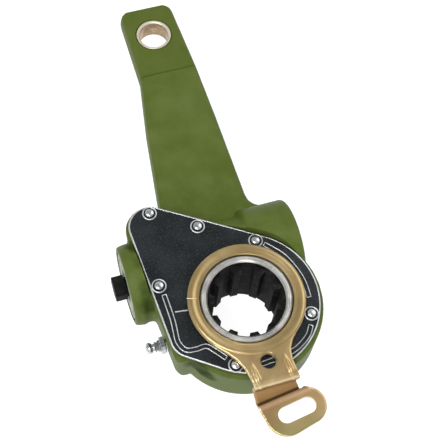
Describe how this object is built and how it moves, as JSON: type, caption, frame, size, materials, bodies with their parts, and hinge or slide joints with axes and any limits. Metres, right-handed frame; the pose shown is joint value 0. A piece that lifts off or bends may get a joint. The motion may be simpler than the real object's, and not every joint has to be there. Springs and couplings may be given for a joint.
{
  "type": "brake slack adjuster",
  "caption": "Automatic brake slack adjuster: splined hub with worm gear in a painted housing, cranked arm with bushed pin hole, and a plated control arm that drives the adjusting mechanism.",
  "frame": {"origin": "centre of the bounding box, on the plane that the hub's back face and the spring boss rest on", "axes": "+Z along the camshaft bore towards the cover side, +Y from the hub towards the clevis pin hole, +X towards the spring plug, with the worm's hexagon at -X"},
  "size_m": [0.097, 0.2492, 0.0445],
  "materials": {
    "green_paint": "olive green enamel on a cast housing",
    "dark_cover": "glossy charcoal coating on pressed steel",
    "yellow_zinc": "yellow passivated zinc plating on pressed steel",
    "machined_steel": "turned and ground steel",
    "black_oxide": "black oxide on hardened steel",
    "bright_zinc": "bright zinc plating",
    "bush_bronze": "plain bronze bush",
    "seal_rubber": "black nitrile rubber",
    "gasket_fibre": "pressed fibre sheet"
  },
  "bodies": {
    "housing_body": {"housing": "green_paint", "cover_plate": "dark_cover", "cover_gasket": "gasket_fibre", "cover_rivet_1": "bright_zinc", "cover_rivet_2": "bright_zinc", "cover_rivet_3": "bright_zinc", "cover_rivet_4": "bright_zinc", "cover_rivet_5": "bright_zinc", "cover_rivet_6": "bright_zinc", "clevis_bush": "bush_bronze", "cover_o_ring": "seal_rubber", "grease_nipple": "bright_zinc", "worm_cap": "green_paint", "worm_seal": "seal_rubber", "cap_o_ring": "seal_rubber", "thrust_race": "machined_steel", "spacer_sleeve": "machined_steel", "spring_seat": "machined_steel", "preload_spring": "bright_zinc", "spring_plug": "green_paint", "plug_o_ring": "seal_rubber", "rack_spring": "bright_zinc"},
    "hub_body": {"worm_wheel": "machined_steel", "front_hub_seal": "seal_rubber", "back_hub_seal": "seal_rubber"},
    "control_body": {"control_arm": "yellow_zinc", "control_disc": "machined_steel", "dust_seal": "seal_rubber"},
    "worm_body": {"worm_shaft": "black_oxide", "clutch_ring": "machined_steel"},
    "clutch_body": {"clutch_gear": "machined_steel", "one_way_spring": "machined_steel"},
    "rack_body": {"rack": "machined_steel"}
  },
  "joints": [
    {"name": "hub_spin", "type": "hinge", "parent": "housing_body", "child": "hub_body", "pos_m": [0.0102, -0.05908, 0.022], "axis": [0, 0, 1], "continuous": true},
    {"name": "worm_spin", "type": "hinge", "parent": "housing_body", "child": "worm_body", "pos_m": [0.0102, -0.02868, 0.022], "axis": [1, 0, 0], "continuous": true},
    {"name": "control_swing", "type": "hinge", "parent": "housing_body", "child": "control_body", "pos_m": [0.0102, -0.05908, 0.044], "axis": [0, 0, 1], "range_deg": [-12, 14]},
    {"name": "rack_slide", "type": "slide", "parent": "housing_body", "child": "rack_body", "axis": [0, 1, 0], "range_m": [-0.00734, 0.00629], "deforming": ["rack_spring"]},
    {"name": "clutch_gear_turn", "type": "hinge", "parent": "housing_body", "child": "clutch_body", "pos_m": [0.0102, -0.02868, 0.022], "axis": [1, 0, 0], "range_deg": [-36.1, 42.1]}
  ],
  "couplings": [
    {"joint": "worm_spin", "follows": "hub_spin", "ratio": 24},
    {"joint": "rack_slide", "follows": "control_swing", "m_per_rad": -0.03},
    {"joint": "clutch_gear_turn", "follows": "control_swing", "ratio": 3}
  ]
}
